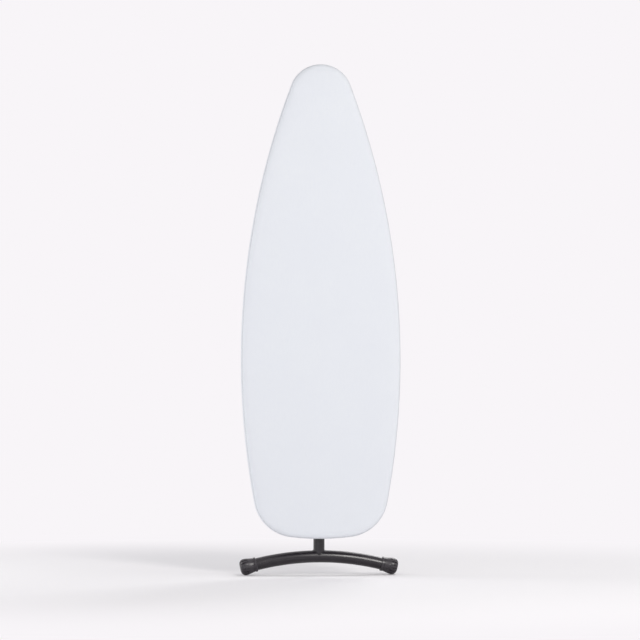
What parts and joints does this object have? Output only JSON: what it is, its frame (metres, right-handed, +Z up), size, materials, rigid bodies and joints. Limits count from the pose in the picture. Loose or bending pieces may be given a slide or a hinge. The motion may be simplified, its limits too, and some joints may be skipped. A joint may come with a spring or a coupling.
{
  "type": "folding ironing board",
  "caption": "Folded ironing board: cloth-covered padded steel top on crossed tube legs with bowed feet; the legs unfold to set its height.",
  "frame": {"origin": "on the floor under the middle of the folded board, halfway between the ironing face and the back of the foot caps", "axes": "+X to the right as seen from the ironing face, +Y from the ironing face back to the legs, +Z up from the foot to the nose"},
  "size_m": [0.456, 0.0944, 1.455],
  "materials": {
    "cover_cloth": "plain pale ice-blue woven cotton",
    "pad_felt": "needled felt",
    "elastic": "woven elastic tape",
    "sheet_paint": "satin light grey paint",
    "frame_paint": "semi-gloss charcoal powder coat",
    "black_plastic": "moulded, fine grain",
    "nylon": "natural nylon",
    "zinc_steel": "bright zinc plate",
    "spring_steel": "oiled spring steel"
  },
  "bodies": {
    "board": {"cover": "cover_cloth", "hem_elastic": "elastic", "foam_pad": "pad_felt", "mesh_top": "sheet_paint", "rim_tube": "frame_paint", "rear_channel": "sheet_paint", "rack_channel": "sheet_paint", "middle_channel": "sheet_paint", "clip_channel": "sheet_paint", "pivot_channel": "sheet_paint", "nose_channel": "sheet_paint", "rack_rail_left": "frame_paint", "rack_rail_right": "frame_paint", "leg_clip": "black_plastic", "pivot_brackets": "frame_paint", "hinge_rod": "zinc_steel", "hinge_rod_caps": "zinc_steel", "return_spring": "spring_steel"},
    "inner_leg": {"inner_leg_tube": "frame_paint", "inner_foot_bar": "frame_paint", "inner_foot_caps": "black_plastic", "hinge_tube": "frame_paint", "inner_leg_plug": "black_plastic", "crossing_sleeve": "zinc_steel"},
    "outer_leg": {"outer_leg_tube_left": "frame_paint", "outer_leg_tube_right": "frame_paint", "outer_foot_bar": "frame_paint", "outer_foot_caps": "black_plastic", "slide_lugs": "frame_paint", "slide_bar": "zinc_steel", "slide_bushes": "nylon", "slide_bar_caps": "black_plastic", "pivot_bolt": "zinc_steel", "pivot_nut": "zinc_steel", "pivot_washers": "nylon", "saddle_washers": "black_plastic"},
    "release_lever": {"lever_rod": "zinc_steel", "lever_clips": "spring_steel", "release_blade": "zinc_steel", "lever_arm": "zinc_steel", "lever_grip": "black_plastic"}
  },
  "joints": [
    {"name": "legs_fold", "type": "hinge", "parent": "board", "child": "inner_leg", "pos_m": [0, -0.00025, 1.089], "axis": [1, 0, 0], "range_deg": [0, 55]},
    {"name": "outer_leg_pivot", "type": "hinge", "parent": "inner_leg", "child": "outer_leg", "pos_m": [0, 0.02375, 0.6285], "axis": [1, 0, 0], "range_deg": [-110, 0]},
    {"name": "lever_squeeze", "type": "hinge", "parent": "board", "child": "release_lever", "pos_m": [0.124, -0.01225, 0.42], "axis": [0, 0, -1], "range_deg": [0, 20], "stiffness_Nm_per_rad": 0.6, "springref_deg": -14.32, "deforming": ["return_spring"]}
  ],
  "couplings": [
    {"joint": "outer_leg_pivot", "follows": "legs_fold", "ratio": -2}
  ]
}
